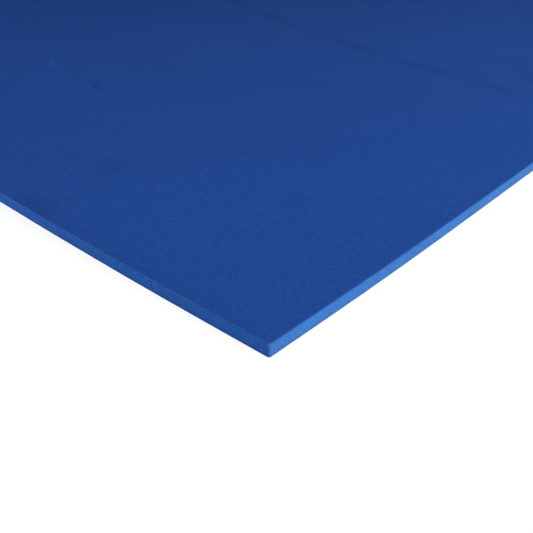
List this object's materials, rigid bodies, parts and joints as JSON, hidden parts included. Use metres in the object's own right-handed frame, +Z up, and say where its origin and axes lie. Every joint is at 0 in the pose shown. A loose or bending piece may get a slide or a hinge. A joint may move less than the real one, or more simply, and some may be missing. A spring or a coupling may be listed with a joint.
{
  "type": "craft foam sheet",
  "caption": "Thin rectangular sheet of plain blue closed-cell foam with die-cut edges, for cutting, gluing and layering in craft and model work.",
  "frame": {"origin": "centre of the underside", "axes": "+X along the long side, +Y along the short side, +Z up through the thickness"},
  "size_m": [0.6, 0.4, 0.002],
  "materials": {
    "blue_foam": "matt closed-cell foam, dyed through, with a fine even skin grain and paler cut edges"
  },
  "bodies": {
    "root": {"foam_sheet": "blue_foam"}
  },
  "joints": []
}
